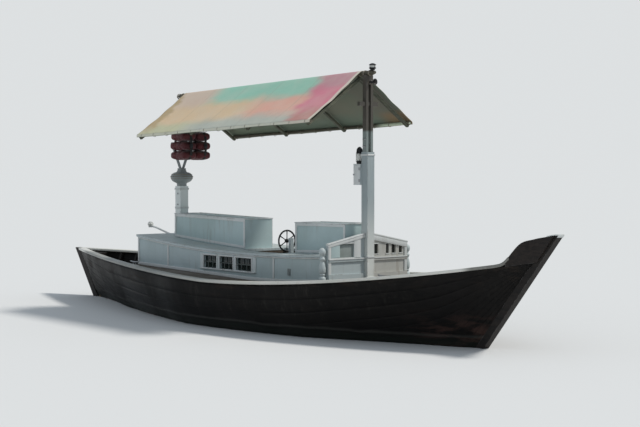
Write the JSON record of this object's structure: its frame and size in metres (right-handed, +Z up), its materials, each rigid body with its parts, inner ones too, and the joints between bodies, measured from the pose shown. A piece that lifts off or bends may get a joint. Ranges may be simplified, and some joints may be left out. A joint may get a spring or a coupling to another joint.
{
  "type": "wooden abra water taxi",
  "caption": "Double-ended open wooden passenger boat with a centreline bench on a low trunk, a steering pit, a ridged cloth canopy on two posts, a screw and a rudder.",
  "frame": {"origin": "on the centreline at the water surface, halfway along the waterline length", "axes": "+X forward to the bow, +Y to port, +Z up"},
  "size_m": [10.4, 2.8438, 3.9222],
  "materials": {
    "hull_wood": "dark oiled planking, weathered",
    "rail_paint": "worn off-white paint",
    "white_paint": "brushed white paint, faintly blue",
    "grey_paint": "weathered grey paint",
    "deck_wood": "bare worn boards",
    "pole_wood": "bare round poles",
    "canvas": "sun-faded coloured canvas",
    "iron": "painted iron with rust",
    "bronze": "dull bronze",
    "black_fittings": "satin black",
    "jacket_fabric": "dark red nylon",
    "lamp_shell": "white gloss"
  },
  "bodies": {
    "hull": {"hull_planking": "hull_wood", "keel": "hull_wood", "stem_post": "hull_wood", "stern_post": "hull_wood", "bow_head": "hull_wood", "rail_cap_starboard": "rail_paint", "rail_cap_port": "rail_paint", "main_deck": "deck_wood", "stern_breasthook": "hull_wood", "stern_well_floor": "deck_wood", "well_bulkhead": "deck_wood", "trunk_side_starboard": "white_paint", "trunk_side_port": "white_paint", "window_panel_starboard": "white_paint", "window_panel_port": "white_paint", "trunk_end_aft": "white_paint", "bench_top": "white_paint", "pit_box": "deck_wood", "backrest_aft": "white_paint", "backrest_fore": "white_paint", "end_board_starboard": "white_paint", "end_board_port": "white_paint", "newel_post_starboard": "white_paint", "newel_post_port": "white_paint", "canopy_post_fore": "white_paint", "canopy_bars_fore": "grey_paint", "canopy_post_aft": "white_paint", "post_head_aft": "white_paint", "canopy_fork_aft": "grey_paint", "ridge_pole": "pole_wood", "eave_rail_starboard": "pole_wood", "eave_rail_port": "pole_wood", "rafter_pair_1": "pole_wood", "rafter_pair_2": "pole_wood", "rafter_pair_3": "pole_wood", "rafter_pair_4": "pole_wood", "canopy_cloth": "canvas", "post_locker": "white_paint", "post_lamp": "black_fittings", "masthead_lamp": "black_fittings", "horn": "black_fittings", "stern_lamp": "lamp_shell", "life_jackets": "jacket_fabric", "engine_block": "iron", "stern_tube": "bronze", "rudder_tube": "bronze", "steering_pedestal": "white_paint"},
    "screw": {"propeller_shaft": "bronze", "propeller": "bronze"},
    "rudder": {"rudder_blade": "iron", "tiller_arm": "iron"},
    "helm": {"steering_wheel": "black_fittings"}
  },
  "joints": [
    {"name": "propeller_spin", "type": "hinge", "parent": "hull", "child": "screw", "pos_m": [-3.92, 0, -0.32], "axis": [1, 0, 0], "continuous": true},
    {"name": "rudder_turn", "type": "hinge", "parent": "hull", "child": "rudder", "pos_m": [-4.17, 0, 0], "axis": [0, 0, 1], "range_deg": [-35, 35]},
    {"name": "helm_turn", "type": "hinge", "parent": "hull", "child": "helm", "pos_m": [0.65, 0, 1.085], "axis": [1, 0, 0], "range_deg": [-281, 281]}
  ],
  "couplings": [
    {"joint": "helm_turn", "follows": "rudder_turn", "ratio": 8}
  ]
}
